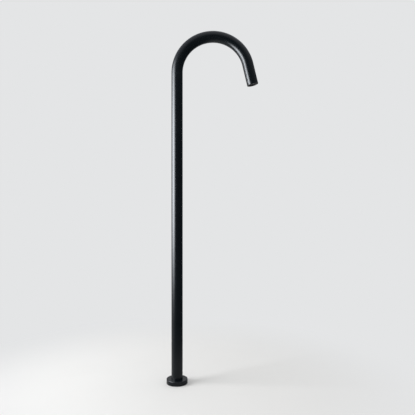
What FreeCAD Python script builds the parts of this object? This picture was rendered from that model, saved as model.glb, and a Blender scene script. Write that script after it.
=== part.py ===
import FreeCAD, Part

import math
import os

from FreeCAD import Placement, Rotation, Vector

# Freestanding bath spout. A bent tube swivels on a post that is screwed to the floor, and a
# round cover hides the fixings. The origin lies on the riser's axis at floor level, +Z is up
# and the outlet points along +X. Lengths are in millimetres, angles in degrees.

# Spout tube
SPOUT_HEIGHT = 1000.0       # floor to the crown of the bend
TUBE_DIAMETER = 32.0
TUBE_WALL = 1.5
BEND_RADIUS = 102.0         # of the tube's centre line
OUTLET_LEAN = 13.5          # of the nose, out from the vertical
NOSE_LENGTH = 60.0          # straight run after the bend
NOSE_ROUND = 0.5

# Floor cover, which comes out 60 across and 12.5 tall
COVER_SKIRT_WALL = 1.7
COVER_TOP_THICKNESS = 4.5
COVER_HEADROOM = 3.0        # over the flange
COVER_ROUND = 1.4
COVER_EDGE_BREAK = 0.35
COVER_FLOOR_GAP = 0.3       # the skirt hangs just clear of the floor
COVER_LEDGE = 0.8           # ledge inside the skirt that rests on the flange
COVER_SIDE_CLEARANCE = 0.3
COVER_TUBE_CLEARANCE = 0.25
GRIP_RING_SECTION = 1.5
GRIP_RING_CLEARANCE = 0.05
GRIP_GROOVE_PLAY = 0.2

# Floor flange and its fixings
GASKET_THICKNESS = 1.0
GASKET_INSET = 0.5
FLANGE_THICKNESS = 4.0
FLANGE_EDGE_BREAK = 0.3
FIXING_COUNT = 4
FIRST_FIXING_ANGLE = 45.0
FIXING_MARGIN = 1.4         # bare flange on either side of each screw head
SCREW_LENGTH = 40.0
SCREW_HEAD_RADIUS = 4.6
SCREW_HEAD_LAND = 0.3
SCREW_NECK_RADIUS = 2.5
SCREW_THREAD_RADIUS = 2.25
SCREW_POINT_LENGTH = 4.0
SCREW_SINK = 0.1            # the head lies this far under the flange's face
SCREW_HOLE_CLEARANCE = 0.25
HEAD_SEAT_CLEARANCE = 0.1
RECESS_LENGTH = 4.6         # cross recess in each screw head
RECESS_WIDTH = 1.1
RECESS_DEPTH = 1.8
GASKET_HOLE_CLEARANCE = 2.0  # round each screw, for the rim of the floor's plug

# Swivel post, with a half-inch pipe thread underneath
INLET_RADIUS = 9.32
INLET_DEPTH = 14.0
INLET_CHAMFER = 1.2
INLET_RELIEF_DEPTH = 1.4    # undercut behind the thread, where the seal lies
INLET_RELIEF_HEIGHT = 2.5
INLET_SEAL_THICKNESS = 2.0
INLET_SEAL_INSET = 0.12
INLET_SEAL_WIDTH = 1.7
POST_WALL = 2.95            # left under the seal grooves
POST_FOOT_WIDTH = 1.6       # collar that stops the post pulling through the flange
POST_FOOT_HEIGHT = 1.5
POST_CHAMFER = 1.0
BRAZE_GAP = 0.05

# Swivel bearing between the post and the tube
SLEEVE_WALL = 1.85
SLEEVE_LEAD_IN = 0.7
SLEEVE_OVERRUN = 4.0        # sleeve above the post
SWIVEL_CLEARANCE = 0.2
RUNNING_CLEARANCE = 0.05
THRUST_WASHER_THICKNESS = 1.0
THRUST_WASHER_INSET = 0.2
GLIDE_HEIGHT = 6.0
GLIDE_THICKNESS = 0.95
GLIDE_SPLIT = 1.2
GLIDE_GROOVE_PLAY = 0.1
SEAL_SECTION = 2.1
SEAL_GROOVE_PLAY = 0.3
INLET_WEB = 0.9             # post left between the inlet and the lower glide ring's groove
LOWER_SEAL_OFFSET = 4.0     # from the top of the lower glide ring to the seal's middle
SEAL_SPACING = 7.0
UPPER_GLIDE_OFFSET = 16.0   # from the upper seal's middle
POST_END = 5.0              # post above the upper glide ring

# Retaining screws, whose dog points run in two arc grooves and stop the swing
SWING_EACH_WAY = 60.0
RETAINER_RISE = 3.6         # from the tube's lower end
RETAINER_RADIUS = 2.0
RETAINER_SINK = 0.4
RETAINER_DOG_RADIUS = 1.25
RETAINER_DOG_CLEARANCE = 0.2
RETAINER_SOCKET = 2.0       # across the flats
RETAINER_SOCKET_DEPTH = 1.5
RETAINER_HOLE_CLEARANCE = 0.05
STOP_GROOVE_DEPTH = 1.0
STOP_GROOVE_PLAY = 0.15
STOP_ANGLE_PLAY = 0.8

# Nose insert and aerator, measured inwards from the mouth of the tube
INSERT_SETBACK = 1.0
INSERT_WALL = 2.95          # round the aerator's thread, which comes out 23 across
INSERT_SHOULDER = 2.0
INSERT_NECK_LENGTH = 6.5
INSERT_CHAMFER = 0.6
AERATOR_CLEARANCE = 0.05
HOUSING_SETBACK = 1.4
HOUSING_WALL = 1.65
HOUSING_LIP_WIDTH = 0.9
HOUSING_LIP_THICKNESS = 1.2
KEY_NOTCH_COUNT = 8
KEY_NOTCH_WIDTH = 1.8
KEY_NOTCH_DEPTH = 1.0
KEY_NOTCH_REACH = 1.0
GRID_THICKNESS = 2.5
GRID_CELL = 1.5             # across the flats of one honeycomb cell
GRID_RIB = 0.35             # between two cells
GRID_RIM = 0.35
JET_SKIRT_HEIGHT = 2.3
JET_SKIRT_WALL = 0.85
JET_PLATE_THICKNESS = 1.2
JET_HOLE_RADIUS = 0.5
JET_PITCH = 2.0
SCREEN_RIM_THICKNESS = 0.4
SCREEN_RIM_WIDTH = 0.85
SCREEN_RISE = 3.0
SCREEN_THICKNESS = 0.5
SCREEN_HOLE_RADIUS = 0.4
SCREEN_PITCH = 1.7
AERATOR_SEAL_THICKNESS = 1.5
AERATOR_SEAL_INSET = 0.1
AERATOR_SEAL_WIDTH = 1.8

# Sizes worked out from those above
tube_radius = TUBE_DIAMETER / 2
tube_bore = tube_radius - TUBE_WALL
bend_height = SPOUT_HEIGHT - tube_radius - BEND_RADIUS
bend_sweep = 180.0 - OUTLET_LEAN

fixing_radius = tube_radius + FIXING_MARGIN + SCREW_HEAD_RADIUS
flange_radius = fixing_radius + SCREW_HEAD_RADIUS + FIXING_MARGIN
flange_bottom = GASKET_THICKNESS
flange_top = flange_bottom + FLANGE_THICKNESS
tube_bottom = flange_top + THRUST_WASHER_THICKNESS

cover_cavity_radius = flange_radius + COVER_SIDE_CLEARANCE
cover_radius = cover_cavity_radius + COVER_SKIRT_WALL
cover_ceiling = flange_top + COVER_HEADROOM
cover_height = cover_ceiling + COVER_TOP_THICKNESS
grip_ring_height = cover_ceiling + COVER_TOP_THICKNESS / 2
grip_groove_radius = tube_radius + GRIP_RING_CLEARANCE + GRIP_RING_SECTION

sleeve_radius = tube_bore - BRAZE_GAP
sleeve_bore = sleeve_radius - SLEEVE_WALL
post_radius = sleeve_bore - SWIVEL_CLEARANCE
post_foot_radius = post_radius + POST_FOOT_WIDTH
bearing_radius = sleeve_bore - RUNNING_CLEARANCE
seal_groove_radius = bearing_radius - SEAL_SECTION
waterway_radius = seal_groove_radius - POST_WALL
inlet_top = flange_bottom + INLET_DEPTH
inlet_relief_bottom = inlet_top - INLET_RELIEF_HEIGHT
inlet_relief_radius = INLET_RADIUS + INLET_RELIEF_DEPTH

retainer_height = tube_bottom + RETAINER_RISE
retainer_outer = tube_radius - RETAINER_SINK
stop_groove_radius = post_radius - STOP_GROOVE_DEPTH
retainer_tip = stop_groove_radius + RETAINER_DOG_CLEARANCE
retainer_angles = (90.0, -90.0)

lower_glide_bottom = inlet_top + INLET_WEB + GLIDE_GROOVE_PLAY
lower_seal_height = lower_glide_bottom + GLIDE_HEIGHT + LOWER_SEAL_OFFSET
upper_seal_height = lower_seal_height + SEAL_SPACING
upper_glide_bottom = upper_seal_height + UPPER_GLIDE_OFFSET
post_top = upper_glide_bottom + GLIDE_HEIGHT + POST_END
sleeve_top = post_top + SLEEVE_OVERRUN

aerator_thread_radius = sleeve_radius - INSERT_WALL
insert_waterway_radius = aerator_thread_radius - INSERT_SHOULDER
housing_radius = aerator_thread_radius - AERATOR_CLEARANCE
housing_bore = housing_radius - HOUSING_WALL
cartridge_radius = housing_bore - AERATOR_CLEARANCE
lip_radius = housing_bore - HOUSING_LIP_WIDTH
grid_bottom = HOUSING_SETBACK + HOUSING_LIP_THICKNESS
jet_bottom = grid_bottom + GRID_THICKNESS
plate_bottom = jet_bottom + JET_SKIRT_HEIGHT
screen_bottom = plate_bottom + JET_PLATE_THICKNESS
housing_top = screen_bottom + SCREEN_RIM_THICKNESS
insert_shoulder = housing_top + AERATOR_SEAL_THICKNESS
insert_top = insert_shoulder + INSERT_NECK_LENGTH

UP = Vector(0, 0, 1)
ORIGIN = Vector(0, 0, 0)


def point_on_circle(radius, angle, height=0.0):
    turn = math.radians(angle)
    return Vector(radius * math.cos(turn), radius * math.sin(turn), height)


def rod(radius, bottom, top, centre=ORIGIN):
    return Part.makeCylinder(radius, top - bottom, centre + UP * bottom)


def ring(outer, inner, bottom, top):
    return rod(outer, bottom, top).cut(rod(inner, bottom, top))


def cone(bottom_radius, top_radius, bottom, top, centre=ORIGIN):
    return Part.makeCone(bottom_radius, top_radius, top - bottom, centre + UP * bottom)


def turned(profile):
    # profile is a closed outline of (radius, height) corners, spun about the Z axis
    corners = [Vector(radius, 0, height) for radius, height in profile]
    face = Part.Face(Part.makePolygon(corners + corners[:1]))
    return face.revolve(ORIGIN, UP, 360)


def hexagon(across_flats, centre):
    corner = across_flats / math.sqrt(3)
    corners = [centre + point_on_circle(corner, 60 * i + 30) for i in range(6)]
    return Part.Face(Part.makePolygon(corners + corners[:1]))


def circle_edges(shape, radius, height):
    # edges of the shape that are whole circles of this radius at this height
    found = []
    for edge in shape.Edges:
        curve = edge.Curve
        if isinstance(curve, Part.Circle) and abs(curve.Radius - radius) < 1e-4:
            if abs(curve.Center.z - height) < 1e-4:
                found.append(edge)
    return found


def holes_in_rings(reach, pitch, radius, bottom, top):
    # round holes on rings one pitch apart that stay inside the reach
    holes = []
    circle = pitch
    while circle + radius < reach:
        count = int(2 * math.pi * circle / pitch)
        holes += [rod(radius, bottom, top, point_on_circle(circle, 360.0 * i / count))
                  for i in range(count)]
        circle += pitch
    return holes


def nose_placement():
    # the mouth's centre, with local +Z pointing back up into the tube
    sweep = math.radians(bend_sweep)
    bend_end = Vector(BEND_RADIUS * (1 - math.cos(sweep)), 0,
                      bend_height + BEND_RADIUS * math.sin(sweep))
    along = Vector(math.sin(sweep), 0, math.cos(sweep))
    return Placement(bend_end + along * NOSE_LENGTH, Rotation(Vector(0, 1, 0), -OUTLET_LEAN))


def in_nose(solid):
    placed = solid.copy()
    placed.Placement = nose_placement().multiply(placed.Placement)
    return placed


def bent_rod(radius, end_round=0.0):
    # the riser, the bend and the nose as one solid rod
    riser = rod(radius, tube_bottom, bend_height)
    disc = Part.Face(Part.Wire(Part.makeCircle(radius, UP * bend_height, UP)))
    bend = disc.revolve(Vector(BEND_RADIUS, 0, bend_height), Vector(0, 1, 0), bend_sweep)
    nose = rod(radius, 0, NOSE_LENGTH)
    if end_round:
        nose = nose.makeFillet(end_round, circle_edges(nose, radius, 0))
    return riser.fuse([bend, in_nose(nose)]).removeSplitter()


def turned_to_side(solid, radius, angle):
    # lays a solid that stands along +Z outwards at this angle, its foot at this radius
    placed = solid.rotated(ORIGIN, Vector(0, 1, 0), 90).rotated(ORIGIN, UP, angle)
    return placed.translated(point_on_circle(radius, angle, retainer_height))


def retainer_holes():
    hole = rod(RETAINER_RADIUS + RETAINER_HOLE_CLEARANCE, 0, tube_radius)
    return [turned_to_side(hole, post_radius, angle) for angle in retainer_angles]


def spout_tube():
    tube = bent_rod(tube_radius, NOSE_ROUND).cut(bent_rod(tube_bore))
    return tube.cut(retainer_holes())


def swivel_sleeve():
    sleeve = ring(sleeve_radius, sleeve_bore, tube_bottom, sleeve_top)
    lead_in = cone(sleeve_bore + SLEEVE_LEAD_IN, sleeve_bore, tube_bottom,
                   tube_bottom + 2 * SLEEVE_LEAD_IN)
    return sleeve.cut([lead_in] + retainer_holes())


def retaining_screw():
    # stands on its dog point, which begins where the sleeve's bore ends
    length = retainer_outer - retainer_tip
    dog_length = sleeve_bore - retainer_tip
    body = rod(RETAINER_RADIUS, dog_length, length)
    dog = rod(RETAINER_DOG_RADIUS, 0, dog_length)
    floor = UP * (length - RETAINER_SOCKET_DEPTH)
    socket = hexagon(RETAINER_SOCKET, floor).extrude(UP * RETAINER_SOCKET_DEPTH)
    return body.fuse(dog).cut(socket)


def retaining_screws():
    screw = retaining_screw()
    return Part.makeCompound([turned_to_side(screw, retainer_tip, angle)
                              for angle in retainer_angles])


def stop_groove(angle):
    # an arc groove that the dog point runs in, as long as the swing
    half_height = RETAINER_DOG_RADIUS + STOP_GROOVE_PLAY
    dog_half_angle = math.degrees(math.asin(RETAINER_DOG_RADIUS / stop_groove_radius))
    half_span = SWING_EACH_WAY + dog_half_angle + STOP_ANGLE_PLAY
    low = retainer_height - half_height
    high = retainer_height + half_height
    corners = [Vector(stop_groove_radius, 0, low), Vector(sleeve_bore, 0, low),
               Vector(sleeve_bore, 0, high), Vector(stop_groove_radius, 0, high)]
    face = Part.Face(Part.makePolygon(corners + corners[:1]))
    return face.rotated(ORIGIN, UP, angle - half_span).revolve(ORIGIN, UP, 2 * half_span)


def glide_groove(bottom):
    return ring(sleeve_bore, bearing_radius - GLIDE_THICKNESS, bottom - GLIDE_GROOVE_PLAY,
                bottom + GLIDE_HEIGHT + GLIDE_GROOVE_PLAY)


def seal_groove(middle):
    half = SEAL_SECTION / 2 + SEAL_GROOVE_PLAY
    return ring(sleeve_bore, seal_groove_radius, middle - half, middle + half)


def swivel_post():
    foot_top = flange_bottom + POST_FOOT_HEIGHT
    post = turned([
        (INLET_RADIUS + INLET_CHAMFER, flange_bottom),
        (post_foot_radius, flange_bottom),
        (post_foot_radius, foot_top),
        (post_radius, foot_top),
        (post_radius, post_top - POST_CHAMFER),
        (post_radius - POST_CHAMFER, post_top),
        (waterway_radius, post_top),
        (waterway_radius, inlet_top),
        (inlet_relief_radius, inlet_top),
        (inlet_relief_radius, inlet_relief_bottom),
        (INLET_RADIUS, inlet_relief_bottom),
        (INLET_RADIUS, flange_bottom + INLET_CHAMFER),
    ])
    grooves = [stop_groove(angle) for angle in retainer_angles]
    grooves += [glide_groove(lower_glide_bottom), glide_groove(upper_glide_bottom)]
    grooves += [seal_groove(lower_seal_height), seal_groove(upper_seal_height)]
    return post.cut(grooves)


def inlet_seal():
    # a flat washer against the shoulder at the end of the inlet thread
    outer = INLET_RADIUS - INLET_SEAL_INSET
    return ring(outer, outer - INLET_SEAL_WIDTH, inlet_top - INLET_SEAL_THICKNESS, inlet_top)


def glide_ring(bottom):
    band = ring(bearing_radius, bearing_radius - GLIDE_THICKNESS, bottom, bottom + GLIDE_HEIGHT)
    split = Part.makeBox(sleeve_bore, GLIDE_SPLIT, GLIDE_HEIGHT,
                         Vector(0, -GLIDE_SPLIT / 2, bottom))
    return band.cut(split)


def seal_ring(middle):
    return Part.makeTorus(bearing_radius - SEAL_SECTION / 2, SEAL_SECTION / 2, UP * middle)


def thrust_washer():
    return ring(tube_radius - THRUST_WASHER_INSET, sleeve_bore, flange_top, tube_bottom)


def fixing_centres(height=0.0):
    step = 360.0 / FIXING_COUNT
    return [point_on_circle(fixing_radius, FIRST_FIXING_ANGLE + step * i, height)
            for i in range(FIXING_COUNT)]


def floor_gasket():
    pad = ring(flange_radius - GASKET_INSET, INLET_RADIUS + INLET_CHAMFER, 0, GASKET_THICKNESS)
    hole = SCREW_NECK_RADIUS + GASKET_HOLE_CLEARANCE
    return pad.cut([rod(hole, 0, GASKET_THICKNESS, centre) for centre in fixing_centres()])


def floor_flange():
    plate = rod(flange_radius, flange_bottom, flange_top)
    plate = plate.makeChamfer(FLANGE_EDGE_BREAK, circle_edges(plate, flange_radius, flange_top))
    hole_radius = SCREW_NECK_RADIUS + SCREW_HOLE_CLEARANCE
    mouth_radius = SCREW_HEAD_RADIUS + HEAD_SEAT_CLEARANCE + SCREW_HEAD_LAND + SCREW_SINK
    sink_bottom = flange_top - (mouth_radius - hole_radius)
    cuts = [
        rod(post_radius + BRAZE_GAP, flange_bottom, flange_top),
        rod(post_foot_radius + BRAZE_GAP, flange_bottom, flange_bottom + POST_FOOT_HEIGHT),
    ]
    for centre in fixing_centres():
        cuts.append(rod(hole_radius, flange_bottom, flange_top, centre))
        cuts.append(cone(hole_radius, mouth_radius, sink_bottom, flange_top, centre))
    return plate.cut(cuts)


def floor_screw():
    # stands on its point at height 0, with the head uppermost
    land_bottom = SCREW_LENGTH - SCREW_HEAD_LAND
    head_bottom = land_bottom - (SCREW_HEAD_RADIUS - SCREW_NECK_RADIUS)
    neck_bottom = SCREW_LENGTH - FLANGE_THICKNESS
    screw = turned([
        (0, 0),
        (SCREW_THREAD_RADIUS, SCREW_POINT_LENGTH),
        (SCREW_THREAD_RADIUS, neck_bottom),
        (SCREW_NECK_RADIUS, neck_bottom + (SCREW_NECK_RADIUS - SCREW_THREAD_RADIUS)),
        (SCREW_NECK_RADIUS, head_bottom),
        (SCREW_HEAD_RADIUS, land_bottom),
        (SCREW_HEAD_RADIUS, SCREW_LENGTH),
        (0, SCREW_LENGTH),
    ])
    slot = Part.makeBox(RECESS_LENGTH, RECESS_WIDTH, RECESS_DEPTH,
                        Vector(-RECESS_LENGTH / 2, -RECESS_WIDTH / 2,
                               SCREW_LENGTH - RECESS_DEPTH))
    return screw.cut([slot, slot.rotated(ORIGIN, UP, 90)])


def floor_screws():
    screw = floor_screw()
    drop = flange_top - SCREW_SINK - SCREW_LENGTH
    return Part.makeCompound([screw.translated(centre) for centre in fixing_centres(drop)])


def base_cover():
    bore = tube_radius + COVER_TUBE_CLEARANCE
    cap = rod(cover_radius, COVER_FLOOR_GAP, cover_height)
    cap = cap.makeFillet(COVER_ROUND, circle_edges(cap, cover_radius, cover_height))
    cap = cap.makeChamfer(COVER_EDGE_BREAK, circle_edges(cap, cover_radius, COVER_FLOOR_GAP))
    mouth = cone(bore, bore + COVER_EDGE_BREAK, cover_height - COVER_EDGE_BREAK, cover_height)
    return cap.cut([
        rod(cover_cavity_radius, COVER_FLOOR_GAP, flange_top),
        rod(flange_radius - COVER_LEDGE, flange_top, cover_ceiling),
        rod(bore, cover_ceiling, cover_height),
        mouth,
        grip_groove(),
    ])


def grip_groove():
    half = GRIP_RING_SECTION / 2 + GRIP_GROOVE_PLAY
    return ring(grip_groove_radius, tube_radius, grip_ring_height - half,
                grip_ring_height + half)


def cover_grip_ring():
    half = GRIP_RING_SECTION / 2
    return Part.makeTorus(grip_groove_radius - half, half, UP * grip_ring_height)


def nose_insert():
    return in_nose(turned([
        (aerator_thread_radius + INSERT_CHAMFER, INSERT_SETBACK),
        (sleeve_radius, INSERT_SETBACK),
        (sleeve_radius, insert_top),
        (insert_waterway_radius + INSERT_CHAMFER, insert_top),
        (insert_waterway_radius, insert_top - INSERT_CHAMFER),
        (insert_waterway_radius, insert_shoulder),
        (aerator_thread_radius, insert_shoulder),
        (aerator_thread_radius, INSERT_SETBACK + INSERT_CHAMFER),
    ]))


def aerator_housing():
    shell = ring(housing_radius, housing_bore, HOUSING_SETBACK, housing_top)
    lip = ring(housing_bore, lip_radius, HOUSING_SETBACK, grid_bottom)
    notch = Part.makeBox(KEY_NOTCH_REACH * 2, KEY_NOTCH_WIDTH, KEY_NOTCH_DEPTH,
                         Vector(housing_radius - KEY_NOTCH_REACH, -KEY_NOTCH_WIDTH / 2,
                                HOUSING_SETBACK))
    notches = [notch.rotated(ORIGIN, UP, 360.0 * i / KEY_NOTCH_COUNT)
               for i in range(KEY_NOTCH_COUNT)]
    return in_nose(shell.fuse(lip).cut(notches))


def flow_grid():
    # a disc with a honeycomb of cells that straightens the stream
    pitch = GRID_CELL + GRID_RIB
    row_step = pitch * math.sqrt(3) / 2
    open_radius = lip_radius - GRID_RIM
    reach = int(open_radius / row_step) + 1
    cells = []
    for row in range(-reach, reach + 1):
        for column in range(-reach - 1, reach + 2):
            centre = Vector((column + 0.5 * (row % 2)) * pitch, row * row_step, grid_bottom)
            if math.hypot(centre.x, centre.y) + GRID_CELL / math.sqrt(3) < open_radius:
                cells.append(hexagon(GRID_CELL, centre).extrude(UP * GRID_THICKNESS))
    return in_nose(rod(cartridge_radius, grid_bottom, jet_bottom).cut(cells))


def jet_plate():
    skirt_bore = cartridge_radius - JET_SKIRT_WALL
    skirt = ring(cartridge_radius, skirt_bore, jet_bottom, plate_bottom)
    plate = rod(cartridge_radius, plate_bottom, screen_bottom)
    jets = holes_in_rings(skirt_bore, JET_PITCH, JET_HOLE_RADIUS, plate_bottom, screen_bottom)
    return in_nose(plate.cut(jets).fuse(skirt))


def strainer_screen():
    # a domed screen that stands on a flat rim
    dome_radius = cartridge_radius - SCREEN_RIM_WIDTH
    ball_radius = (dome_radius ** 2 + SCREEN_RISE ** 2) / (2 * SCREEN_RISE)
    dome_top = screen_bottom + SCREEN_RISE
    ball_centre = UP * (dome_top - ball_radius)
    shell = Part.makeSphere(ball_radius, ball_centre).cut(
        Part.makeSphere(ball_radius - SCREEN_THICKNESS, ball_centre))
    dome = shell.common(rod(dome_radius, screen_bottom, dome_top))
    rim = ring(cartridge_radius, dome_radius - SCREEN_THICKNESS, screen_bottom, housing_top)
    holes = holes_in_rings(dome_radius - 2 * SCREEN_THICKNESS, SCREEN_PITCH,
                           SCREEN_HOLE_RADIUS, housing_top, dome_top)
    return in_nose(rim.fuse(dome).cut(holes))


def aerator_seal():
    outer = aerator_thread_radius - AERATOR_SEAL_INSET
    return in_nose(ring(outer, outer - AERATOR_SEAL_WIDTH, housing_top, insert_shoulder))


pieces = {
    "spout_tube": spout_tube(),
    "swivel_sleeve": swivel_sleeve(),
    "retaining_screws": retaining_screws(),
    "nose_insert": nose_insert(),
    "aerator_seal": aerator_seal(),
    "strainer_screen": strainer_screen(),
    "jet_plate": jet_plate(),
    "flow_grid": flow_grid(),
    "aerator_housing": aerator_housing(),
    "base_cover": base_cover(),
    "cover_grip_ring": cover_grip_ring(),
    "floor_flange": floor_flange(),
    "floor_gasket": floor_gasket(),
    "floor_screws": floor_screws(),
    "swivel_post": swivel_post(),
    "inlet_seal": inlet_seal(),
    "thrust_washer": thrust_washer(),
    "lower_glide_ring": glide_ring(lower_glide_bottom),
    "upper_glide_ring": glide_ring(upper_glide_bottom),
    "lower_seal_ring": seal_ring(lower_seal_height),
    "upper_seal_ring": seal_ring(upper_seal_height),
}

os.makedirs("parts", exist_ok=True)
for name, shape in pieces.items():
    shape.exportStep(f"parts/{name}.step")
    print(name, "solids", len(shape.Solids), "volume", round(shape.Volume, 1),
          "valid", shape.isValid())
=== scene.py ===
import math

import bmesh
import bpy
from mathutils import Matrix, Vector


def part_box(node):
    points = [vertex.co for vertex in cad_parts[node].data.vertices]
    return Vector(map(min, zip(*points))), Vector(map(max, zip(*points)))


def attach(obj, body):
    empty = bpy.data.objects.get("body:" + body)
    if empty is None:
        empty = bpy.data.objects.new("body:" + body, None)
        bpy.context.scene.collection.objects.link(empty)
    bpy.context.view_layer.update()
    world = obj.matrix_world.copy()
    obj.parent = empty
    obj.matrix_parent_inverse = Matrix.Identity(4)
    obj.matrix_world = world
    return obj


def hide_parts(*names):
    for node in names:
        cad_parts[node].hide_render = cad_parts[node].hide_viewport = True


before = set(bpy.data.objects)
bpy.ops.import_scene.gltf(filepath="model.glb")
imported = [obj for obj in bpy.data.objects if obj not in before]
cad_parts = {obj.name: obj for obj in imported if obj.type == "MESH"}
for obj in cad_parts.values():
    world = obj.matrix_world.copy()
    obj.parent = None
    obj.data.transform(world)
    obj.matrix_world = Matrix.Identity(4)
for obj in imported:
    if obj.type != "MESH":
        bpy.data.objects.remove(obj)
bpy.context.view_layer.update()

# Freestanding bath spout: a bent tube in satin black that turns on a post in the floor,
# a round cover over its fixings and an aerator in its mouth. Sizes are in metres,
# written as millimetres times mm.
mm = 0.001
mergeDistance = 0.002 * mm  # points nearer each other than this become one
overshoot = 1 * mm  # how far a cutter stands out of what it cuts
fineSteps = 5  # faces across a rounded edge
coarseSteps = 3  # and across one that hardly shows
sharpAngle = math.radians(32)  # an edge that turns more than this stays sharp


# Helpers

def hexColour(code):
    # an sRGB hex code as the linear colour that a socket takes
    channels = [int(code[i:i + 2], 16) / 255 for i in (1, 3, 5)]
    linear = [c / 12.92 if c <= 0.04045 else ((c + 0.055) / 1.055) ** 2.4 for c in channels]
    return (*linear, 1.0)


def addNode(tree, kind, inputs=None, **settings):
    # one node; each input gets a value, an output, a node for its first output, or a list
    node = tree.nodes.new(kind)
    for name, value in settings.items():
        setattr(node, name, value)
    for key, value in (inputs or {}).items():
        for item in value if isinstance(value, list) else [value]:
            if isinstance(item, bpy.types.Node):
                item = item.outputs[0]
            if isinstance(item, bpy.types.NodeSocket):
                tree.links.new(item, node.inputs[key])
            else:
                node.inputs[key].default_value = item
    return node


def addPiece(name, data=None):
    # an object at the origin, which gets an empty mesh where no data is given
    piece = bpy.data.objects.new(name, data or bpy.data.meshes.new(name))
    bpy.context.scene.collection.objects.link(piece)
    return piece


def plainMesh(piece):
    # keeps what the modifiers make as a plain mesh and takes the modifiers off
    depsgraph = bpy.context.evaluated_depsgraph_get()
    made = bpy.data.meshes.new_from_object(piece.evaluated_get(depsgraph))
    for i in reversed(range(len(made.materials))):
        if not made.materials[i]:
            made.materials.pop(index=i)
    piece.modifiers.clear()
    piece.data = made
    made.name = piece.name
    return piece


def newTree(name, sizes):
    # a Geometry Nodes tree with a named input for each size, and what these inputs give
    kinds = {int: "Int", float: "Float"}
    tree = bpy.data.node_groups.new(name, "GeometryNodeTree")
    tree.interface.new_socket("Geometry", in_out="OUTPUT", socket_type="NodeSocketGeometry")
    tree.interface.new_socket("Geometry", in_out="INPUT", socket_type="NodeSocketGeometry")
    for label, value in sizes.items():
        kind = kinds.get(type(value), type(value).__name__)
        tree.interface.new_socket(label, in_out="INPUT", socket_type="NodeSocket" + kind)
    return tree, addNode(tree, "NodeGroupInput").outputs


def endTree(tree, shape, material):
    # every tree ends the same way, in real geometry with its material set
    real = addNode(tree, "GeometryNodeRealizeInstances", {"Geometry": shape})
    done = addNode(tree, "GeometryNodeSetMaterial", {"Geometry": real, "Material": material})
    addNode(tree, "NodeGroupOutput", {0: done})
    return tree


def runTree(piece, tree, sizes):
    # runs the tree on the piece with these sizes and keeps the result
    modifier = piece.modifiers.new(tree.name, "NODES")
    modifier.node_group = tree
    for item in tree.interface.items_tree:
        if item.in_out == "INPUT" and item.name in sizes:
            modifier[item.identifier] = sizes[item.name]
    return plainMesh(piece)


def smoothPiece(piece):
    # outward faces, smooth but for sharp edges; flat faces keep their normal
    shape = bmesh.new()
    shape.from_mesh(piece.data)
    bmesh.ops.remove_doubles(shape, verts=shape.verts, dist=mergeDistance)
    bmesh.ops.dissolve_degenerate(shape, edges=shape.edges, dist=mergeDistance)
    bmesh.ops.recalc_face_normals(shape, faces=shape.faces)
    for face in shape.faces:
        face.smooth = True
    for edge in shape.edges:
        edge.smooth = edge.calc_face_angle(math.pi) < sharpAngle
    shape.to_mesh(piece.data)
    shape.free()
    weighted = piece.modifiers.new("weightedNormals", "WEIGHTED_NORMAL")
    weighted.keep_sharp = True
    return plainMesh(piece)


def roundedOutline(corners, steps=fineSteps):
    # (radius, height) corners, and a third number where a corner is rounded
    outline = []
    for i, corner in enumerate(corners):
        here = Vector(corner[:2])
        if len(corner) < 3:
            outline.append(here)
            continue
        back = (Vector(corners[i - 1][:2]) - here).normalized()
        ahead = (Vector(corners[(i + 1) % len(corners)][:2]) - here).normalized()
        half = back.angle(ahead) / 2
        centre = here + (back + ahead).normalized() * corner[2] / math.sin(half)
        start = here + back * corner[2] / math.tan(half) - centre
        finish = here + ahead * corner[2] / math.tan(half) - centre
        outline += [centre + start.slerp(finish, k / steps) * corner[2]
                    for k in range(steps + 1)]
    return outline


def threadRows(thread, turned):
    # one column of a screw thread, a part turn round: rows follow the helix between low and
    # high, and beyond them they lie on the plain surface
    low, high, pitch = thread["low"], thread["high"], thread["pitch"]
    form = thread["form"]  # how far each row of one pitch stands out, from 0 to 1
    rows = []
    for j in range(int(len(form) * ((high - low) / pitch + 1)) + 2):
        height = low + (j / len(form) - turned) * pitch
        height = min(max(height, low), high)
        ends = min(height - low, high - height) / (pitch / 2)  # it grows from nothing
        out = thread["depth"] * form[j % len(form)] * min(1.0, ends)
        point = min(1.0, (height - low) / thread["point"]) if thread.get("point") else 1.0
        rows.append((thread["radius"] * point + out * point, height))
    return rows if thread.get("upwards", True) else rows[::-1]


def joinRings(name, shape, rings, caps):
    # one object of faces from each ring of points to the next, and a flat face for each cap
    for ring, following in zip(rings, rings[1:]):
        for k in range(len(ring)):
            j = (k + 1) % len(ring)
            shape.faces.new((ring[k], ring[j], following[j], following[k]))
    for cap in caps:
        shape.faces.new(cap)
    bmesh.ops.remove_doubles(shape, verts=shape.verts, dist=mergeDistance)
    bmesh.ops.recalc_face_normals(shape, faces=shape.faces)
    piece = addPiece(name)
    shape.to_mesh(piece.data)
    shape.free()
    return piece


def turnedPiece(name, outline, material, sides, sweep=360.0, start=0.0, thread=None):
    # spins a closed outline of (radius, height) points about Z; a part turn gets flat ends,
    # and a thread comes in after the outline's point that it names
    shape = bmesh.new()
    rings = []
    for i in range(sides + 1):
        turn = math.radians(start + sweep * i / sides)
        points = list(outline)
        if thread:
            points[thread["after"] + 1:thread["after"] + 1] = threadRows(thread, i / sides)
        rings.append([shape.verts.new((p[0] * math.cos(turn), p[0] * math.sin(turn), p[1]))
                      for p in points])
    caps = (rings[0], rings[-1][::-1]) if sweep < 360.0 else ()
    piece = joinRings(name, shape, rings, caps)
    piece.data.materials.append(material)
    return piece


def prism(name, outlines):
    # a closed solid through outlines of as many (x, y, z) points each
    shape = bmesh.new()
    rings = [[shape.verts.new(point) for point in outline] for outline in outlines]
    return joinRings(name, shape, rings, (rings[0][::-1], rings[-1]))


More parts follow.
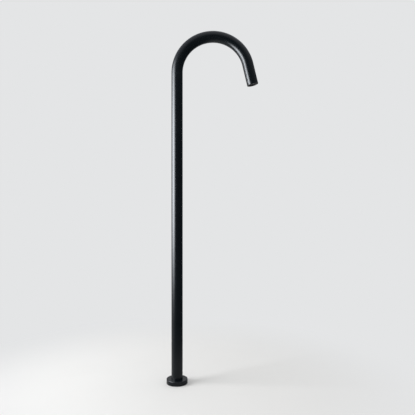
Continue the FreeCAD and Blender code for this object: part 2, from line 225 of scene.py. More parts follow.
def circleOfCopies(tree, size):
    # copies of one object spaced round a circle about Z, each turned to its own angle
    index = addNode(tree, "GeometryNodeInputIndex")
    step = addNode(tree, "ShaderNodeMath", {0: math.tau, 1: size["Count"]}, operation="DIVIDE")
    angle = addNode(tree, "ShaderNodeMath", {0: index, 1: step, 2: size["First Angle"]},
                    operation="MULTIPLY_ADD")
    start = addNode(tree, "ShaderNodeCombineXYZ", {"X": size["Radius"], "Z": size["Height"]})
    place = addNode(tree, "ShaderNodeVectorRotate", {"Vector": start, "Angle": angle},
                    rotation_type="Z_AXIS")
    points = addNode(tree, "GeometryNodePoints", {"Count": size["Count"], "Position": place})
    turn = addNode(tree, "ShaderNodeCombineXYZ", {"Z": angle})
    copied = addNode(tree, "GeometryNodeObjectInfo", {"Object": size["Copied"]})
    copies = addNode(tree, "GeometryNodeInstanceOnPoints",
                     {"Points": points, "Instance": copied.outputs["Geometry"],
                      "Rotation": turn})
    return addNode(tree, "GeometryNodeRealizeInstances", {"Geometry": copies})


def workRound(piece, copied, count, radius, firstAngle, height, material, cut=False):
    # makes the piece of copies of one object round Z, or cuts them out of it, and uses the
    # object up
    sizes = {"Copied": copied, "Count": count, "Radius": radius,
             "First Angle": math.radians(firstAngle), "Height": height, "Material": material}
    tree, size = newTree(copied.name + "Copies", sizes)
    shape = circleOfCopies(tree, size)
    if cut:
        shape = addNode(tree, "GeometryNodeMeshBoolean", {0: size["Geometry"], 1: shape},
                        operation="DIFFERENCE", solver="EXACT")
    endTree(tree, shape, size["Material"])
    runTree(piece, tree, sizes)
    bpy.data.objects.remove(copied)
    return piece


def copyRound(name, copied, count, radius, firstAngle, height, material):
    piece = addPiece(name)
    return workRound(piece, copied, count, radius, firstAngle, height, material)


def cutRound(piece, cutter, count, radius=0.0, firstAngle=0.0, height=0.0):
    return workRound(piece, cutter, count, radius, firstAngle, height,
                     piece.data.materials[0], cut=True)


def fitPiece(piece, body, slot, *nodes):
    # the finished piece rides on its body and stands for the nodes, which are hidden
    smoothPiece(piece)
    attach(piece, body)
    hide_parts(*nodes)
    print("made", piece.name, "with", len(piece.data.polygons), "faces")


# Materials

def startMaterial(look):
    # what is the same all over goes straight on the shader's own sockets
    material = bpy.data.materials.new(look["name"])
    material.use_nodes = True
    tree = material.node_tree
    tree.nodes.clear()
    shader = addNode(tree, "ShaderNodeBsdfPrincipled", look["shader"])
    addNode(tree, "ShaderNodeOutputMaterial", {"Surface": shader})
    place = addNode(tree, "ShaderNodeTexCoord").outputs["Object"]
    return material, tree, shader, place


noiseRange = (0.3, 0.7)  # noise hardly leaves this


def shadeByPattern(tree, shader, pattern, look):
    # one pattern drives the colour, the roughness and, where it has one, the relief
    shade = addNode(tree, "ShaderNodeMix",
                    {0: pattern, 6: hexColour(look["dark"]), 7: hexColour(look["pale"])},
                    data_type="RGBA").outputs[2]
    gloss = addNode(tree, "ShaderNodeMapRange",
                    {0: pattern, 1: noiseRange[0], 2: noiseRange[1], 3: look["smooth"],
                     4: look["rough"]})
    tree.links.new(shade, shader.inputs["Base Color"])
    tree.links.new(gloss.outputs[0], shader.inputs["Roughness"])
    if "relief" in look:
        bump = addNode(tree, "ShaderNodeBump", {"Height": pattern, "Distance": look["relief"]})
        tree.links.new(bump.outputs[0], shader.inputs["Normal"])
    return shade


# polyester powder baked on steel: a soft satin black, faintly cool, with fine orange peel
powderCoat = {
    "name": "satinBlackPowderCoat",
    "shader": {"IOR": 1.5},
    "dark": "#070c10",  # where the coat lies thin
    "pale": "#0b1217",
    "cloudSize": 60 * mm,  # drift in shade from one pass of the gun to the next
    "cloudDetail": 4.0,
    "peelSize": 1.8 * mm,  # orange peel of baked powder
    "peelDetail": 2.0,
    "peelHeight": 0.01 * mm,
    "waveSize": 14 * mm,  # long wave under it, which bends the edge of a reflection
    "waveDetail": 1.0,
    "waveHeight": 0.008 * mm,
    "smooth": 0.22, "rough": 0.28,
}


def satinPowderCoat(look):
    material, tree, shader, place = startMaterial(look)
    cloud, wave, peel = [
        addNode(tree, "ShaderNodeTexNoise", {"Vector": place, "Scale": 1 / look[layer + "Size"],
                                             "Detail": look[layer + "Detail"]})
        for layer in ("cloud", "wave", "peel")]
    shadeByPattern(tree, shader, cloud, look)
    longBump = addNode(tree, "ShaderNodeBump", {"Height": wave, "Distance": look["waveHeight"]})
    bump = addNode(tree, "ShaderNodeBump", {"Height": peel, "Distance": look["peelHeight"],
                                            "Normal": longBump})
    tree.links.new(bump.outputs[0], shader.inputs["Normal"])
    return material


toolMark = {
    "feed": 0.45 * mm,  # real ones lie 0.15 mm apart, too fine to show
    "detail": 1.5,
}


def toolMarks(tree, place):
    # rings left by the lathe: the pattern depends on radius and height alone
    parts = addNode(tree, "ShaderNodeSeparateXYZ", {0: place}).outputs
    across = addNode(tree, "ShaderNodeCombineXYZ", {"X": parts["X"], "Y": parts["Y"]})
    radius = addNode(tree, "ShaderNodeVectorMath", {0: across},
                     operation="LENGTH").outputs["Value"]
    line = addNode(tree, "ShaderNodeCombineXYZ", {"X": radius, "Y": parts["Z"]})
    marks = addNode(tree, "ShaderNodeTexNoise", {"Vector": line, "Scale": 1 / toolMark["feed"],
                                                 "Detail": toolMark["detail"]},
                    noise_dimensions="2D")
    return marks, parts["Z"]


# free-cutting brass from the lathe: warm yellow, bright, with fine rings round its axis
brassLook = {
    "name": "turnedBrass",
    "shader": {"Metallic": 1.0},
    "dark": "#a9843f", "pale": "#c9a65c",
    "smooth": 0.26, "rough": 0.38, "relief": 0.006 * mm,
}
# stainless plate faced on the lathe: grey, satin, with rings round the post
plateLook = {
    "name": "turnedStainless",
    "shader": {"Metallic": 1.0},
    "dark": "#8f9090", "pale": "#b4b5b4",
    "smooth": 0.3, "rough": 0.42, "relief": 0.006 * mm,
}
# machined acetal: milky white and slippery, with a slight sheen
acetalLook = {
    "name": "machinedWhiteAcetal",
    "shader": {"IOR": 1.48},
    "dark": "#dedbd0", "pale": "#e9e7de",
    "smooth": 0.34, "rough": 0.46, "relief": 0.003 * mm,
}


def turnedFinish(look):
    material, tree, shader, place = startMaterial(look)
    shadeByPattern(tree, shader, toolMarks(tree, place)[0], look)
    return material


# turned brass in the mouth, where black powder has drifted in over its first threads
oversprayLook = {
    **brassLook,
    "name": "oversprayedTurnedBrass",
    "shader": {"IOR": 1.5},
    "smooth": 0.28, "rough": 0.4,
    "spray": "#131416",
    "sprayReach": 3.5 * mm,  # how far the coat drifts in from the mouth
    "sprayFade": 2.0 * mm,
    "grain": 0.6 * mm, "detail": 3.0,
}


def oversprayedBrass(look):
    material, tree, shader, place = startMaterial(look)
    inverse = noseMatrix().inverted()
    local = addNode(tree, "ShaderNodeMapping",
                    {"Vector": place, "Location": inverse.to_translation(),
                     "Rotation": inverse.to_euler()})
    marks, depth = toolMarks(tree, local)
    shade = shadeByPattern(tree, shader, marks, look)
    speckle = addNode(tree, "ShaderNodeTexNoise", {"Vector": place, "Scale": 1 / look["grain"],
                                                   "Detail": look["detail"]})
    ragged = addNode(tree, "ShaderNodeMath", {0: speckle, 1: look["sprayFade"], 2: depth},
                     operation="MULTIPLY_ADD")
    bare = addNode(tree, "ShaderNodeMapRange",
                   {0: ragged, 1: look["sprayReach"],
                    2: look["sprayReach"] + look["sprayFade"]})
    mixed = addNode(tree, "ShaderNodeMix", {0: bare, 6: hexColour(look["spray"]), 7: shade},
                    data_type="RGBA")
    tree.links.new(mixed.outputs[2], shader.inputs["Base Color"])
    tree.links.new(bare.outputs[0], shader.inputs["Metallic"])
    return material


# cold-forged and tumbled screws: a brighter grey with a fine, even mottle
screwLook = {
    "name": "coldForgedStainless",
    "shader": {"Metallic": 1.0},
    "dark": "#9a9b9b", "pale": "#bcbcba",
    "smooth": 0.24, "rough": 0.4, "relief": 0.004 * mm,
    "grain": 0.7 * mm, "detail": 3.0,
}
# moulded EPDM: nearly matt, with the pale bloom that rises out of the rubber
rubberLook = {
    "name": "mouldedBlackRubber",
    "shader": {"IOR": 1.52},
    "dark": "#17171a", "pale": "#27282a",
    "smooth": 0.62, "rough": 0.8, "relief": 0.008 * mm,
    "grain": 5 * mm, "detail": 6.0,
}
# moulded plastic with the fine sparked grain of its mould, dull but for a slight sheen
blackPlasticLook = {
    "name": "sparkedBlackPlastic",
    "shader": {"IOR": 1.53},
    "dark": "#0f0f10", "pale": "#18181a",
    "smooth": 0.38, "rough": 0.52, "relief": 0.01 * mm,
    "grain": 0.5 * mm, "detail": 2.0,
}
# the same in grey, with a finer grain, for the honeycomb in the mouth
greyPlasticLook = {
    **blackPlasticLook,
    "name": "mouldedGreyPlastic",
    "dark": "#3a3b3d", "pale": "#4a4b4e",
    "grain": 0.4 * mm,
}


def mottledFinish(look):
    material, tree, shader, place = startMaterial(look)
    mottle = addNode(tree, "ShaderNodeTexNoise",
                     {"Vector": place, "Scale": 1 / look["grain"], "Detail": look["detail"]})
    shadeByPattern(tree, shader, mottle, look)
    return material


# The bent tube

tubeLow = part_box("spout_tube")[0]
spout = {
    "radius": -tubeLow.x,
    "wall": 1.5 * mm,
    "lowerEnd": tubeLow.z,
    "crown": 1000 * mm,
    "bendRadius": 102 * mm,  # of the tube's centre line
    "outletLean": 13.5,  # degrees, of the nose, out from the vertical
    "noseLength": 60 * mm,
    "edgeRound": 0.5 * mm,
    "roundSteps": 4.0,
    "endMargin": 0.01 * mm,  # a point this near an end of the outline counts as its corner
    "ringSpacing": 5 * mm,
    "sides": 96,
}
bendSweep = math.radians(180 - spout["outletLean"])
bendHeight = spout["crown"] - spout["radius"] - spout["bendRadius"]
retainer = {
    "count": 2,
    "firstAngle": 90.0,
    "height": 9.6 * mm,
    "holeRadius": 2.05 * mm,
    "radius": 2.0 * mm,  # of the screw
    "outerEnd": 15.6 * mm,  # from the riser's axis
    "tip": 11.6 * mm,
    "dogRadius": 1.25 * mm,
    "dogLength": 1.0 * mm,
    "socket": 2.0 * mm,  # across the flats
    "socketDepth": 1.5 * mm,
    "edgeRound": 0.15 * mm,
    "pitch": 0.7 * mm,
    "threadDepth": 0.35 * mm,
    "sides": 40,
    "holeSides": 32,
}


def noseMatrix():
    # places what is made upright at the origin in the mouth, its +Z back up into the tube
    reach = (spout["bendRadius"] * (1 - math.cos(bendSweep))
             + spout["noseLength"] * math.sin(bendSweep))
    height = (bendHeight + spout["bendRadius"] * math.sin(bendSweep)
              + spout["noseLength"] * math.cos(bendSweep))
    turn = Matrix.Rotation(math.radians(-spout["outletLean"]), 4, "Y")
    return Matrix.Translation((reach, 0.0, height)) @ turn


def bentTubeTree(sizes):
    # the tube's wall as one closed outline, carried round a circle and then bent
    tree, size = newTree("bentTube", sizes)
    halfLength = addNode(tree, "ShaderNodeMath", {0: size["Length"], 1: 2.0},
                         operation="DIVIDE")
    outline = addNode(tree, "GeometryNodeCurvePrimitiveQuadrilateral",
                      {"Width": size["Wall"], "Height": size["Length"]})
    index = addNode(tree, "GeometryNodeInputIndex")
    odd = addNode(tree, "ShaderNodeMath", {0: index, 1: 2.0}, operation="MODULO")
    rings = addNode(tree, "ShaderNodeMath", {0: size["Length"], 1: size["Ring Spacing"]},
                    operation="DIVIDE")
    cuts = addNode(tree, "ShaderNodeMath", {0: odd, 1: rings}, operation="MULTIPLY")
    outline = addNode(tree, "GeometryNodeSubdivideCurve", {"Curve": outline, "Cuts": cuts})
    position = addNode(tree, "GeometryNodeInputPosition")
    along = addNode(tree, "ShaderNodeSeparateXYZ", {0: position}).outputs["Y"]
    fromMiddle = addNode(tree, "ShaderNodeMath", {0: along}, operation="ABSOLUTE")
    atEnd = addNode(tree, "ShaderNodeMath",
                    {0: fromMiddle, 1: halfLength, 2: spout["endMargin"]},
                    operation="COMPARE")
    count = addNode(tree, "ShaderNodeMath", {0: atEnd, 1: spout["roundSteps"]},
                    operation="MULTIPLY")
    outline = addNode(tree, "GeometryNodeFilletCurve",
                      {"Curve": outline, "Count": count, "Radius": size["Edge Round"]},
                      mode="POLY")
    outline = addNode(tree, "GeometryNodeStoreNamedAttribute",
                      {"Geometry": outline, "Name": "outline", "Value": position},
                      data_type="FLOAT_VECTOR")
    circle = addNode(tree, "GeometryNodeCurvePrimitiveCircle", {"Resolution": size["Sides"]})
    around = addNode(tree, "GeometryNodeSplineParameter").outputs["Factor"]
    circle = addNode(tree, "GeometryNodeStoreNamedAttribute",
                     {"Geometry": circle, "Name": "around", "Value": around})
    wall = addNode(tree, "GeometryNodeCurveToMesh", {"Curve": circle, "Profile Curve": outline})

    # back to the outline's own numbers: distance from the tube's axis and from its lower end
    saved = addNode(tree, "GeometryNodeInputNamedAttribute", {"Name": "outline"},
                    data_type="FLOAT_VECTOR")
    saved = addNode(tree, "ShaderNodeSeparateXYZ", {0: saved}).outputs
    out = addNode(tree, "ShaderNodeMath", {0: saved["X"], 1: size["Middle Radius"]},
                  operation="ADD")
    run = addNode(tree, "ShaderNodeMath", {0: saved["Y"], 1: halfLength}, operation="ADD")

    # the angle of the bend that each point has reached, and its height before bending
    pastRise = addNode(tree, "ShaderNodeMath", {0: run, 1: size["Rise"]}, operation="SUBTRACT")
    angle = addNode(tree, "ShaderNodeMath", {0: pastRise, 1: size["Bend Radius"]},
                    operation="DIVIDE")
    angle = addNode(tree, "ShaderNodeClamp", {0: angle, 1: 0.0, 2: size["Sweep"]})
    taken = addNode(tree, "ShaderNodeMath", {0: angle, 1: size["Bend Radius"]},
                    operation="MULTIPLY")
    height = addNode(tree, "ShaderNodeMath", {0: run, 1: taken}, operation="SUBTRACT")
    height = addNode(tree, "ShaderNodeMath", {0: height, 1: size["Lower End"]}, operation="ADD")
    riseTop = addNode(tree, "ShaderNodeMath", {0: size["Lower End"], 1: size["Rise"]},
                      operation="ADD")
    pivot = addNode(tree, "ShaderNodeCombineXYZ", {"X": size["Bend Radius"], "Z": riseTop})
    point = addNode(tree, "ShaderNodeCombineXYZ", {"X": out, "Z": height})
    savedTurn = addNode(tree, "GeometryNodeInputNamedAttribute", {"Name": "around"})
    turn = addNode(tree, "ShaderNodeMath", {0: savedTurn, 1: math.tau}, operation="MULTIPLY")
    point = addNode(tree, "ShaderNodeVectorRotate", {"Vector": point, "Angle": turn},
                    rotation_type="Z_AXIS")
    point = addNode(tree, "ShaderNodeVectorRotate",
                    {"Vector": point, "Center": pivot, "Angle": angle},
                    rotation_type="Y_AXIS")
    bent = addNode(tree, "GeometryNodeSetPosition", {"Geometry": wall, "Position": point})
    return endTree(tree, bent, size["Material"])


def makeSpoutTube(coat):
    rise = bendHeight - spout["lowerEnd"]
    sizes = {
        "Middle Radius": spout["radius"] - spout["wall"] / 2,
        "Wall": spout["wall"],
        "Lower End": spout["lowerEnd"],
        "Rise": rise,
        "Bend Radius": spout["bendRadius"],
        "Sweep": bendSweep,
        "Length": rise + spout["bendRadius"] * bendSweep + spout["noseLength"],
        "Edge Round": spout["edgeRound"],
        "Ring Spacing": spout["ringSpacing"],
        "Sides": spout["sides"],
        "Material": coat,
    }
    tube = addPiece("spoutTube")
    runTree(tube, bentTubeTree(sizes), sizes)

    # the two holes near the lower end that the retaining screws sit in
    drill = turnedPiece("drill", [(0, 0), (retainer["holeRadius"], 0),
                                  (retainer["holeRadius"], spout["radius"]),
                                  (0, spout["radius"])], coat, retainer["holeSides"])
    drill.data.transform(Matrix.Rotation(math.radians(90), 4, "Y"))
    cutRound(tube, drill, retainer["count"], spout["radius"] / 2, retainer["firstAngle"],
             retainer["height"])
    fitPiece(tube, "spout", "black_coated_steel", "spout_tube")


def makeRetainingScrews(steel):
    # two set screws with a hex socket outside and a plain dog point inside
    length = retainer["outerEnd"] - retainer["tip"]
    root = retainer["radius"] - retainer["threadDepth"]
    dog = retainer["dogLength"]
    outline = roundedOutline([(0, 0), (retainer["dogRadius"], 0, retainer["edgeRound"]),
                              (retainer["dogRadius"], dog), (root, dog), (root, length),
                              (0, length)], coarseSteps)
    thread = {"after": len(outline) - 3, "low": dog, "high": length, "radius": root,
              "pitch": retainer["pitch"], "depth": retainer["threadDepth"],
              "form": (0, 1, 1, 0)}
    screw = turnedPiece("setScrew", outline, steel, retainer["sides"], thread=thread)
    corner = retainer["socket"] / math.sqrt(3)
    angles = [math.radians(60 * k) for k in range(6)]
    cutter = prism("hexKey", [[(corner * math.cos(a), corner * math.sin(a), z) for a in angles]
                              for z in (length - retainer["socketDepth"], length + overshoot)])
    cutRound(screw, cutter, 1)
    screw.data.transform(Matrix.Rotation(math.radians(90), 4, "Y"))
    piece = copyRound("retainingScrews", screw, retainer["count"], retainer["tip"],
                      retainer["firstAngle"], retainer["height"], steel)
    fitPiece(piece, "spout", "stainless_steel", "retaining_screws")


# The cover over the fixings

coverLow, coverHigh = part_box("base_cover")
flangeLow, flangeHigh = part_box("floor_flange")
gripLow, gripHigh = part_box("cover_grip_ring")
cover = {
    "topRound": 1.4 * mm,
    "edgeRound": 0.35 * mm,
    "tubeClearance": 0.25 * mm,
    "sideClearance": 0.3 * mm,
    "ledge": 0.8 * mm,  # rests on the flange
    "headroom": 3.0 * mm,
    "grooveDepth": 1.3 * mm,  # for the grip ring
    "groovePlay": 0.2 * mm,
    "sides": 160,
}


def makeBaseCover(coat):
    bore = spout["radius"] + cover["tubeClearance"]
    cavity = flangeHigh.x + cover["sideClearance"]
    ledge = flangeHigh.x - cover["ledge"]
    cavityTop = flangeHigh.z + cover["headroom"]
    edge = cover["edgeRound"]
    grooveLow = gripLow.z - cover["groovePlay"]
    grooveHigh = gripHigh.z + cover["groovePlay"]
    outline = roundedOutline([
        (bore, coverHigh.z, edge),
        (coverHigh.x, coverHigh.z, cover["topRound"]),
        (coverHigh.x, coverLow.z, edge),
        (cavity, coverLow.z, edge),
        (cavity, flangeHigh.z),
        (ledge, flangeHigh.z),
        (ledge, cavityTop, 2 * edge),
        (bore, cavityTop, edge),
        (bore, grooveLow),
        (bore + cover["grooveDepth"], grooveLow),
        (bore + cover["grooveDepth"], grooveHigh),
        (bore, grooveHigh),
    ])
    piece = turnedPiece("baseCover", outline, coat, cover["sides"])
    fitPiece(piece, "cover", "black_coated_steel", "base_cover")


# The floor flange and its screws, under the cover

screwLow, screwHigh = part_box("floor_screws")
fixing = {
    "count": 4,
    "firstAngle": 45.0,
    "circle": 22 * mm,  # radius that the screws stand on
    "flangeRound": 0.3 * mm,
    "flangeSides": 128,
    "postHole": 12.45 * mm,
    "footHole": 14.05 * mm,  # for the post's foot, under the flange
    "footHeight": 1.5 * mm,
    "holeRadius": 2.75 * mm,
    "mouthRadius": 5.1 * mm,  # of the countersink
    "holeSides": 48,
    "screwSides": 36,
    "headRadius": 4.6 * mm,
    "headLand": 0.3 * mm,
    "headRound": 0.12 * mm,
    "neckRadius": 2.5 * mm,
    "neckRound": 0.4 * mm,
    "neckLength": 4 * mm,  # head and plain neck together
    "threadRadius": 2.25 * mm,
    "threadDepth": 0.6 * mm,
    "threadEnd": 1 * mm,  # plain length between the thread and the neck
    "pitch": 2.2 * mm,
    "pointLength": 4 * mm,
    "recessLength": 4.6 * mm,  # cross recess in the head
    "recessWidth": 1.1 * mm,
    "recessDepth": 1.8 * mm,
    "recessTaper": 0.55,  # its floor's size as a share of its mouth's
    "recessFlare": 1.2,  # the driver's size above the head
}


def makeFloorFlange(steel):
    edge = fixing["flangeRound"]
    footTop = flangeLow.z + fixing["footHeight"]
    outline = roundedOutline([
        (fixing["postHole"], flangeHigh.z, edge),
        (flangeHigh.x, flangeHigh.z, edge),
        (flangeHigh.x, flangeLow.z, edge),
        (fixing["footHole"], flangeLow.z),
        (fixing["footHole"], footTop),
        (fixing["postHole"], footTop),
    ], coarseSteps)
    piece = turnedPiece("floorFlange", outline, steel, fixing["flangeSides"])
    hole, mouth = fixing["holeRadius"], fixing["mouthRadius"]
    bottom = -(flangeHigh.z - flangeLow.z) - overshoot
    sink = turnedPiece("countersink", [
        (0, bottom), (hole, bottom), (hole, hole - mouth), (mouth, 0),
        (mouth, overshoot), (0, overshoot)], steel, fixing["holeSides"])
    cutRound(piece, sink, fixing["count"], fixing["circle"], fixing["firstAngle"], flangeHigh.z)
    fitPiece(piece, "base", "stainless_steel", "floor_flange")


def makeFloorScrews(steel):
    # countersunk screws with a coarse thread, a sharp point and a tapered cross recess
    length = screwHigh.z - screwLow.z
    root = fixing["threadRadius"] - fixing["threadDepth"]
    neckBottom = length - fixing["neckLength"]
    headBottom = length - fixing["headLand"] - (fixing["headRadius"] - fixing["neckRadius"])
    threadTop = neckBottom - fixing["threadEnd"]
    outline = roundedOutline([
        (0, 0), (root, threadTop), (fixing["neckRadius"], neckBottom),
        (fixing["neckRadius"], headBottom, fixing["neckRound"]),
        (fixing["headRadius"], length - fixing["headLand"]),
        (fixing["headRadius"], length, fixing["headRound"]), (0, length)], coarseSteps)
    thread = {"after": 0, "low": 0.0, "high": threadTop, "radius": root,
              "pitch": fixing["pitch"], "depth": fixing["threadDepth"],
              "point": fixing["pointLength"], "form": (0, 0, 1, 0)}
    screw = turnedPiece("floorScrew", outline, steel, fixing["screwSides"], thread=thread)
    half, arm = fixing["recessLength"] / 2, fixing["recessWidth"] / 2
    cross = [(half, arm), (arm, arm), (arm, half), (-arm, half), (-arm, arm), (-half, arm),
             (-half, -arm), (-arm, -arm), (-arm, -half), (arm, -half), (arm, -arm),
             (half, -arm)]
    levels = ((length - fixing["recessDepth"], fixing["recessTaper"]),
              (length, 1.0), (length + overshoot, fixing["recessFlare"]))
    driver = prism("crossDriver", [[(x * share, y * share, z) for x, y in cross]
                                   for z, share in levels])
    cutRound(screw, driver, 1)
    piece = copyRound("floorScrews", screw, fixing["count"], fixing["circle"],
                      fixing["firstAngle"], screwLow.z, steel)
    fitPiece(piece, "base", "stainless_steel", "floor_screws")


# The swivel post

postLow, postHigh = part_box("swivel_post")
glideLow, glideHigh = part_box("lower_glide_ring")
upperGlideLow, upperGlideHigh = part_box("upper_glide_ring")
sealLow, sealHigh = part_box("lower_seal_ring")
upperSealLow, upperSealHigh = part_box("upper_seal_ring")
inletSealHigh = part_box("inlet_seal")[1]
post = {
    "radius": 12.4 * mm,
    "footHeight": 1.5 * mm,
    "chamfer": 1.0 * mm,
    "edgeRound": 0.2 * mm,
    "waterway": 7.5 * mm,
    "inletRadius": 9.32 * mm,  # crests of the half-inch pipe thread
    "inletChamfer": 1.2 * mm,
    "inletPitch": 1.814 * mm,
    "inletDepth": 1.0 * mm,
    "reliefRadius": 10.72 * mm,
    "reliefHeight": 2.5 * mm,
    "glideFloor": 11.6 * mm,
    "glidePlay": 0.1 * mm,
    "sealFloor": 10.45 * mm,
    "sealPlay": 0.3 * mm,
    "stopFloor": 11.4 * mm,  # of the arc grooves that stop the swing
    "stopHalfHeight": 1.4 * mm,
    "stopHalfAngle": 67.1,
    "stopSides": 64,
    "sides": 96,
}


def makeSwivelPost(brass):
    outer, glide, seal = post["radius"], post["glideFloor"], post["sealFloor"]
    floor = postLow.z
    grooves = []
    for low, high, depth, play in (
            (glideLow.z, glideHigh.z, glide, post["glidePlay"]),
            (sealLow.z, sealHigh.z, seal, post["sealPlay"]),
            (upperSealLow.z, upperSealHigh.z, seal, post["sealPlay"]),
            (upperGlideLow.z, upperGlideHigh.z, glide, post["glidePlay"])):
        grooves += [(outer, low - play), (depth, low - play),
                    (depth, high + play), (outer, high + play)]
    seat = inletSealHigh.z
    relief = seat - post["reliefHeight"]
    edge = post["edgeRound"]
    outline = roundedOutline([
        (postHigh.x, floor, edge),
        (postHigh.x, floor + post["footHeight"], edge),
        (outer, floor + post["footHeight"]),
        *grooves,
        (outer, postHigh.z - post["chamfer"]),
        (outer - post["chamfer"], postHigh.z),
        (post["waterway"], postHigh.z, edge),
        (post["waterway"], seat),
        (post["reliefRadius"], seat),
        (post["reliefRadius"], relief),
        (post["inletRadius"], relief),
        (post["inletRadius"], floor + post["inletChamfer"]),
        (post["inletRadius"] + post["inletChamfer"], floor, edge),
    ], coarseSteps)
    threadCorner = Vector((post["inletRadius"], relief))
    crest = min(range(len(outline)), key=lambda i: (outline[i] - threadCorner).length)
    thread = {"after": crest, "low": floor + post["inletChamfer"], "high": relief,
              "radius": post["inletRadius"], "pitch": post["inletPitch"],
              "depth": post["inletDepth"], "form": (0, 1, 1, 0), "upwards": False}
    piece = turnedPiece("swivelPost", outline, brass, post["sides"], thread=thread)

    # two arc grooves that the dog points run in
    half, sweep = post["stopHalfHeight"], 2 * post["stopHalfAngle"]
    cutter = turnedPiece("stopCutter", [
        (post["stopFloor"], -half), (outer + overshoot, -half), (outer + overshoot, half),
        (post["stopFloor"], half)], brass, post["stopSides"], sweep, -post["stopHalfAngle"])
    smoothPiece(cutter)
    cutRound(piece, cutter, retainer["count"], 0.0, retainer["firstAngle"], retainer["height"])
    fitPiece(piece, "base", "turned_brass", "swivel_post")


# The aerator in the mouth; heights here count inwards from the mouth

aerator = {
    "setback": 1.4 * mm,
    "radius": 11.45 * mm,
    "bore": 9.8 * mm,
    "lipRadius": 8.9 * mm,
    "lipThickness": 1.2 * mm,
    "length": 7.6 * mm,
    "edgeRound": 0.3 * mm,
    "notchCount": 8,
    "notchWidth": 1.8 * mm,
    "notchDepth": 1.0 * mm,
    "notchReach": 1.0 * mm,
    "gridRadius": 9.75 * mm,
    "gridThickness": 2.5 * mm,
    "gridCell": 1.5 * mm,  # across the flats
    "gridRib": 0.35 * mm,
    "gridRim": 0.35 * mm,
    "gridReach": 7,  # rows of cells on each side of the middle one
    "sides": 96,
}


def makeAeratorHousing(plastic):
    low = aerator["setback"]
    step = low + aerator["lipThickness"]
    high = low + aerator["length"]
    edge = aerator["edgeRound"]
    outline = roundedOutline([
        (aerator["lipRadius"], low, edge),
        (aerator["radius"], low, edge),
        (aerator["radius"], high, edge),
        (aerator["bore"], high, edge),
        (aerator["bore"], step),
        (aerator["lipRadius"], step, edge),
    ], coarseSteps)
    piece = turnedPiece("aeratorHousing", outline, plastic, aerator["sides"])
    inner = aerator["radius"] - aerator["notchReach"]
    outer = aerator["radius"] + overshoot
    half = aerator["notchWidth"] / 2
    slot = [(inner, -half), (outer, -half), (outer, half), (inner, half)]
    cutter = prism("keyNotch", [[(x, y, z) for x, y in slot]
                                for z in (low - overshoot, low + aerator["notchDepth"])])
    cutRound(piece, cutter, aerator["notchCount"])
    piece.data.transform(noseMatrix())
    fitPiece(piece, "spout", "black_plastic", "aerator_housing")


def honeycombTree(sizes):
    # six-sided holes on a staggered lattice, kept where they lie whole inside the rim
    tree, size = newTree("honeycomb", sizes)
    pitch = addNode(tree, "ShaderNodeMath", {0: size["Cell"], 1: size["Rib"]}, operation="ADD")
    index = addNode(tree, "GeometryNodeInputIndex")
    side = addNode(tree, "ShaderNodeMath", {0: size["Reach"], 1: 2.0, 2: 1.0},
                   operation="MULTIPLY_ADD")
    total = addNode(tree, "ShaderNodeMath", {0: side, 1: side}, operation="MULTIPLY")
    rowPart = addNode(tree, "ShaderNodeMath", {0: index, 1: side}, operation="DIVIDE")
    rowFloor = addNode(tree, "ShaderNodeMath", {0: rowPart}, operation="FLOOR")
    row = addNode(tree, "ShaderNodeMath", {0: rowFloor, 1: size["Reach"]}, operation="SUBTRACT")
    columnPart = addNode(tree, "ShaderNodeMath", {0: index, 1: side}, operation="MODULO")
    column = addNode(tree, "ShaderNodeMath", {0: columnPart, 1: size["Reach"]},
                     operation="SUBTRACT")
    odd = addNode(tree, "ShaderNodeMath", {0: row, 1: 2.0}, operation="FLOORED_MODULO")
    shifted = addNode(tree, "ShaderNodeMath", {0: odd, 1: 0.5, 2: column},
                      operation="MULTIPLY_ADD")
    across = addNode(tree, "ShaderNodeMath", {0: shifted, 1: pitch}, operation="MULTIPLY")
    rowStep = addNode(tree, "ShaderNodeMath", {0: pitch, 1: math.sqrt(3) / 2},
                      operation="MULTIPLY")
    up = addNode(tree, "ShaderNodeMath", {0: row, 1: rowStep}, operation="MULTIPLY")
    centre = addNode(tree, "ShaderNodeCombineXYZ", {"X": across, "Y": up})
    points = addNode(tree, "GeometryNodePoints", {"Count": total, "Position": centre})

    # a cell goes where its corners would reach into the rim
    corner = addNode(tree, "ShaderNodeMath", {0: size["Cell"], 1: math.sqrt(3)},
                     operation="DIVIDE")
    position = addNode(tree, "GeometryNodeInputPosition")
    distance = addNode(tree, "ShaderNodeVectorMath", {0: position},
                       operation="LENGTH").outputs["Value"]
    farthest = addNode(tree, "ShaderNodeMath", {0: distance, 1: corner}, operation="ADD")
    outside = addNode(tree, "ShaderNodeMath", {0: farthest, 1: size["Open Radius"]},
                      operation="GREATER_THAN")
    points = addNode(tree, "GeometryNodeDeleteGeometry",
                     {"Geometry": points, "Selection": outside})
    cell = addNode(tree, "GeometryNodeCurvePrimitiveCircle",
                   {"Resolution": 6, "Radius": corner})
    cells = addNode(tree, "GeometryNodeInstanceOnPoints",
                    {"Points": points, "Instance": cell,
                     "Rotation": (0.0, 0.0, math.radians(30))})
    cells = addNode(tree, "GeometryNodeRealizeInstances", {"Geometry": cells})
    rim = addNode(tree, "GeometryNodeCurvePrimitiveCircle",
                  {"Resolution": aerator["sides"], "Radius": size["Rim Radius"]})
    curves = addNode(tree, "GeometryNodeJoinGeometry", {"Geometry": [rim, cells]})
    face = addNode(tree, "GeometryNodeFillCurve", {"Curve": curves})
    raised = addNode(tree, "GeometryNodeExtrudeMesh",
                     {"Mesh": face, "Offset Scale": size["Thickness"], "Individual": False})
    under = addNode(tree, "GeometryNodeFlipFaces", {"Mesh": face})
    plate = addNode(tree, "GeometryNodeJoinGeometry", {"Geometry": [raised, under]})
    plate = addNode(tree, "GeometryNodeMergeByDistance",
                    {"Geometry": plate, "Distance": mergeDistance})
    return endTree(tree, plate, size["Material"])


